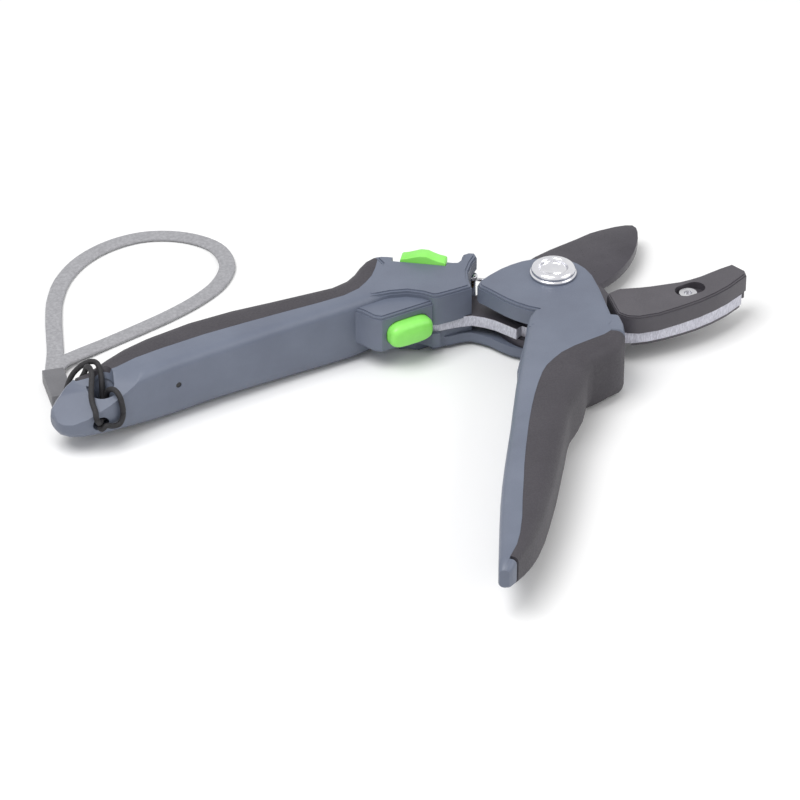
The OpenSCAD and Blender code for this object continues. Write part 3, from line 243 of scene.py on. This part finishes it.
# Thermoplastic rubber overmould: dull charcoal with a slightly warm tone and a soft matte skin
GRIP = speckled("charcoal_rubber_overmould", "#37343a", "#322f35", "#3d3a40", 0.0006, 0.62, 0.00005,
                mottling=0.02)
# Dyed ABS: clean lime green with a light satin skin
GREEN = speckled("lime_green_moulded_abs", "#86e05e", "#7ed655", "#92ea6c", 0.0008, 0.38, 0.00002,
                 mottling=0.02)
# Black oxide and low-friction coating on a punched steel plate
BLACK_STEEL = speckled("black_coated_steel", "#454249", "#3d3a41", "#4e4b52", 0.0006, 0.36, 0.00001,
                       metallic=0.55, mottling=0.015)


def punched_plate():
    """Black-coated steel whose punched sides are bare: where the surface normal leaves the vertical, the coat
    gives way to grey metal with fine upright tear marks about 0.4 mm apart."""
    mat, tree, shader = new_material("punched_steel_bare_sides")
    coord = add(tree, "ShaderNodeTexCoord")
    upright = add(tree, "ShaderNodeSeparateXYZ", i0=coord.outputs["Normal"])
    steep = add(tree, "ShaderNodeMath", {"operation": "ABSOLUTE"}, i0=upright.outputs["Z"])
    bare = add(tree, "ShaderNodeMath", {"operation": "LESS_THAN"}, i0=steep.outputs["Value"], i1=0.6)
    stretch = add(tree, "ShaderNodeMapping", Vector=coord.outputs["Object"])
    stretch.inputs["Scale"].default_value = (1.0, 1.0, 0.25)
    tears = add(tree, "ShaderNodeTexNoise", Vector=stretch.outputs["Vector"], Scale=2600.0, Detail=4.0,
                Roughness=0.75)
    bright = add(tree, "ShaderNodeValToRGB", Fac=tears.outputs["Fac"])
    two_tone(bright.color_ramp, "#9c9ca8", 0.3, "#d8d8e2", 0.7)
    tone = add(tree, "ShaderNodeMix", {"data_type": "RGBA"}, i0=bare.outputs["Value"], i6=srgb("#454249"),
               i7=bright.outputs["Color"])
    tree.links.new(tone.outputs[2], shader.inputs["Base Color"])
    shader.inputs["Metallic"].default_value = 0.35
    shader.inputs["Roughness"].default_value = 0.45
    relief = add(tree, "ShaderNodeBump", Height=tears.outputs["Fac"], Strength=1.0, Distance=0.00004)
    tree.links.new(relief.outputs["Normal"], shader.inputs["Normal"])
    return mat


PLATE = punched_plate()
# Moulded black nylon of the anvil pad
PAD = speckled("black_moulded_nylon", "#47444a", "#403d43", "#4f4c52", 0.0005, 0.45, 0.00003, mottling=0.02)
# Bright turned steel
STEEL = speckled("bright_zinc_plated_steel", "#c9c9cd", "#bdbdc2", "#d5d5d8", 0.0008, 0.3, 0.00001,
                 metallic=1.0, mottling=0.01)
POLISHED = speckled("polished_steel", "#dcdce0", "#d2d2d8", "#e6e6e8", 0.001, 0.16, 0.000005, metallic=1.0,
                    mottling=0.01, rough_span=0.05)
BRASS = speckled("machined_brass", "#c9a75a", "#b9974c", "#d4b46a", 0.0006, 0.3, 0.00001, metallic=1.0)
CELL = speckled("blue_heat_shrink_sleeve", "#2e5c9a", "#2a548e", "#3466a8", 0.002, 0.3, 0.00001)
BOARD = speckled("green_fibreglass_laminate", "#1c5a34", "#174c2c", "#22683e", 0.0008, 0.4, 0.00002)
SWITCH = speckled("black_switch_housing", "#222225", "#1d1d20", "#28282b", 0.0006, 0.5, 0.00002)
CASE = speckled("die_cast_gear_case", "#b0aa9a", "#a59f8f", "#bab4a4", 0.0006, 0.4, 0.00003, metallic=1.0)
LENS = speckled("smoked_clear_plastic", "#131317", "#101014", "#17171b", 0.001, 0.12, 0.000002)
WIRE = speckled("wire_insulation", "#8a1f1f", "#7c1a1a", "#982626", 0.002, 0.4, 0.00001)
CORD = speckled("braided_black_polyester", "#1d1c1f", "#151416", "#26252a", 0.0004, 0.7, 0.0001, mottling=0.001)
FERRULE = speckled("dark_grey_moulded_nylon", "#67676b", "#5f5f63", "#707074", 0.0006, 0.5, 0.00003)
STRAP = speckled("grey_woven_tape", "#9a9a9e", "#8c8c90", "#a8a8ac", 0.0004, 0.75, 0.0001, mottling=0.001)

BY_NODE = {
    "upper_shell": BODY, "lower_shell": BODY, "lever_top_shell": BODY, "lever_bottom_shell": BODY,
    "main_grip": GRIP, "lever_grip": GRIP, "start_button": GREEN, "lock_slider": GREEN,
    "anvil_plate": PLATE, "blade": BLACK_STEEL, "anvil_pad": PAD, "anvil_screw": STEEL,
    "plate_screws": STEEL, "pivot_bolt": POLISHED, "pivot_nut": STEEL, "pivot_spacer": STEEL,
    "spring_post": POLISHED, "opening_spring": STEEL, "battery_cell": CELL, "cell_contacts": STEEL,
    "circuit_board": BOARD, "charging_socket": STEEL, "trigger_switch": SWITCH, "power_switch": SWITCH,
    "motor": STEEL, "gearbox": CASE, "screw_bearing": STEEL, "shell_screws": STEEL,
    "status_light": LENS, "wiring": WIRE, "lanyard_cord": CORD, "lanyard_ferrule": FERRULE,
    "wrist_strap": STRAP, "drive_pin": STEEL, "lever_screws": STEEL, "lead_screw": STEEL,
    "drive_yoke": BRASS,
}


SMOOTH_BELOW = math.radians(38.0)
BEVEL_ABOVE = math.radians(35.0)


def dress(node, material, bevel):
    """Gives a CAD node its material, rounds its shading where faces meet at a small angle, and breaks its
    sharp edges by the stated width in metres."""
    obj = NODES[node]
    obj.data.materials.clear()
    obj.data.materials.append(material)
    obj.data.polygons.foreach_set("use_smooth", np.ones(len(obj.data.polygons), bool))
    weld = obj.modifiers.new("weld", "WELD")
    weld.merge_threshold = 1e-6
    if bevel:
        edge = obj.modifiers.new("broken_edges", "BEVEL")
        edge.width, edge.segments, edge.limit_method = bevel, 3, "ANGLE"
        edge.angle_limit = BEVEL_ABOVE
        edge.use_clamp_overlap = True
    split = obj.modifiers.new("edges", "EDGE_SPLIT")
    split.split_angle = SMOOTH_BELOW
    split.use_edge_sharp = False


# Widths of the broken edges
EDGES = {"lock_slider": 0.0007, "lanyard_ferrule": 0.0009, "anvil_plate": 0.00015, "blade": 0.0002}
for node_name, node_material in BY_NODE.items():
    dress(node_name, node_material, EDGES.get(node_name, 0.0))


# ---------------------------------------------------------------- smooth pieces

def finish_piece(obj, body, node, material):
    """Gives a new piece its material and body, and hides the CAD node that it replaces."""
    obj.data.materials.append(material)
    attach(obj, body)
    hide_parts(node)
    return obj


def turned(name, profile, x, y, steps=96):
    """A lathe-turned skin: every (radius, height) of the profile, in millimetres, swept round the axis at x, y."""
    p = np.array(profile, float) * MM
    a = np.linspace(0.0, 2.0 * np.pi, steps, endpoint=False)
    rings = np.stack([p[:, :1] * np.cos(a) + x * MM, p[:, :1] * np.sin(a) + y * MM,
                      np.repeat(p[:, 1:], steps, 1)], -1)
    return ring_surface(name, rings)


def pivot_bolt():
    """The turned bolt: shank, a head with a rolled rim, a polished cup and a shallow floor."""
    shank = [(4.5, 0.7), (4.5, 23.0)]
    flange = [(7.3, 23.0), (7.6, 23.2), (7.6, 23.9), (7.35, 24.1)]
    rim_x, rim_z, rim_r = 5.7, 24.6, 1.5
    rim = [(rim_x + rim_r * math.cos(t), rim_z + rim_r * math.sin(t)) for t in np.linspace(-0.35, 2.2, 14)]
    cup = [(4.55, 25.0), (4.45, 24.5), (4.2, 24.3), (2.4, 24.3), (2.2, 24.2), (0.2, 24.2)]
    return turned("pivot_bolt_turned", shank + flange + rim + cup, 0.0, 0.0)


BUTTON_CENTRE = (-49.75, 13.1)
BUTTON_HALF = (7.75, 4.2)
BUTTON_FACE_Y = 4.2
BUTTON_BACK_Y = 11.9
BUTTON_EDGE_R = 2.2
BUTTON_BULGE = 0.3
BUTTON_SQUARENESS = 3.4
BUTTON_SIDES = 96


def start_button():
    """The pillow-shaped button: a superellipse whose front edge is rounded and whose face bulges a little."""
    around = np.linspace(0.0, 2.0 * np.pi, BUTTON_SIDES, endpoint=False)
    unit = np.stack(superellipse(around, BUTTON_SQUARENESS), -1)
    turn = np.linspace(0.0, np.pi / 2, 10)
    inset = np.concatenate([[0.0, 0.0], BUTTON_EDGE_R * (1 - np.cos(turn))])
    depth = np.concatenate([[BUTTON_BACK_Y, 8.0], BUTTON_FACE_Y + BUTTON_EDGE_R * (1 - np.sin(turn))])
    face = np.linspace(0.85, 0.05, 8)
    half = np.stack([BUTTON_HALF[0] - inset, BUTTON_HALF[1] - inset], -1)
    half = np.vstack([half, half[-1] * face[:, None]])
    depth = np.concatenate([depth, BUTTON_FACE_Y - BUTTON_BULGE * (1 - face ** 2)])
    ring = unit[None] * half[:, None]
    y = np.repeat(depth[:, None], BUTTON_SIDES, 1)
    points = np.stack([BUTTON_CENTRE[0] + ring[..., 0], y, BUTTON_CENTRE[1] + ring[..., 1]], -1)
    return ring_surface("start_button_pillow", points * MM)


def opening_spring():
    """The round spring wire: a leg at the post, a coil that winds clockwise and climbs, and a hook."""
    turns, start, radius, bottom, pitch, wire_d = 1.46, math.radians(55.0), 8.2, 12.8, 1.7, 1.2
    steps = np.linspace(0.0, 1.0, 70)
    a = start - 2 * math.pi * turns * steps
    coil = np.stack([radius * np.cos(a), radius * np.sin(a), bottom + pitch * turns * steps], -1)
    leg = np.array([-15.3, 24.0, bottom])
    first = coil[0]
    legs = np.array([leg, leg * 0.75 + first * 0.25, leg * 0.4 + first * 0.6])
    end, top = start - 2 * math.pi * turns, bottom + pitch * turns
    # Radius, degrees past the coil's end and height of each of the hook's points
    bends = ((9.2, 28, top), (11.6, 45, top + 0.5), (12.2, 48, top + 1.2), (12.4, 49, top + 2.2))
    hook = np.array([[r * math.cos(end - math.radians(past)), r * math.sin(end - math.radians(past)), z]
                     for r, past, z in bends])
    route = smooth_route(np.vstack([legs, coil, hook]) * MM, 2)
    return tube("opening_spring_wire", route, wire_d * MM, wire_d * MM, 12)


def spring_post():
    """The turned post: a plain stem and a flared head with a bright cupped rim."""
    stem = [(1.5, 4.9), (1.5, 13.6)]
    head = [(1.7, 14.2), (2.05, 15.6), (2.05, 15.9), (1.9, 16.0), (1.6, 15.9), (1.2, 15.2), (0.9, 14.7), (0.1, 14.6)]
    return turned("spring_post_turned", stem + head, -17.4, 22.4, 48)


cord_piece.data.materials.append(CORD)
strap_piece.data.materials.append(STRAP)
finish_piece(pivot_bolt(), "handle", "pivot_bolt", POLISHED)
finish_piece(start_button(), "button", "start_button", GREEN)
finish_piece(opening_spring(), "handle", "opening_spring", STEEL)
finish_piece(spring_post(), "handle", "spring_post", POLISHED)


# ---------------------------------------------------------------- stage

def floor_and_light():
    """A white sweep that the camera sees as white, and soft studio lamps at a plain level."""
    just_below_the_tool = -0.0002
    bpy.ops.mesh.primitive_plane_add(size=6.0, location=(0.0, 0.0, just_below_the_tool))
    floor = bpy.context.object
    floor.name = "floor"
    mat, tree, shader = new_material("white_studio_floor")
    shader.inputs["Base Color"].default_value = (0.9, 0.9, 0.9, 1.0)
    shader.inputs["Roughness"].default_value = 0.9
    shader.inputs["Specular IOR Level"].default_value = 0.0
    floor.data.materials.append(mat)
    world = bpy.data.worlds.new("studio")
    bpy.context.scene.world = world
    world.use_nodes = True
    tree = world.node_tree
    background = next(n for n in tree.nodes if n.type == "BACKGROUND")
    rays = add(tree, "ShaderNodeLightPath")
    seen = add(tree, "ShaderNodeMath", {"operation": "MAXIMUM"}, i0=rays.outputs["Is Camera Ray"],
               i1=rays.outputs["Is Glossy Ray"])
    level = add(tree, "ShaderNodeMapRange", Value=seen.outputs["Value"], To_Min=0.55, To_Max=1.0)
    tree.links.new(level.outputs["Result"], background.inputs["Strength"])
    background.inputs["Color"].default_value = (1.0, 1.0, 1.0, 1.0)

    middle_of_tool = (-0.03, -0.02, 0.0)

    def lamp(name, location, size, power):
        data = bpy.data.lights.new(name, "AREA")
        data.size, data.energy = size, power
        obj = bpy.data.objects.new(name, data)
        bpy.context.scene.collection.objects.link(obj)
        obj.location = location
        obj.rotation_mode = "QUATERNION"
        obj.rotation_quaternion = (Vector(middle_of_tool) - Vector(location)).to_track_quat("-Z", "Y")

    lamp("key", (-0.5, -0.1, 1.0), 0.7, 9.0)
    lamp("fill", (0.7, -0.7, 0.7), 0.8, 4.0)


floor_and_light()

bpy.context.scene.view_settings.view_transform = "Standard"
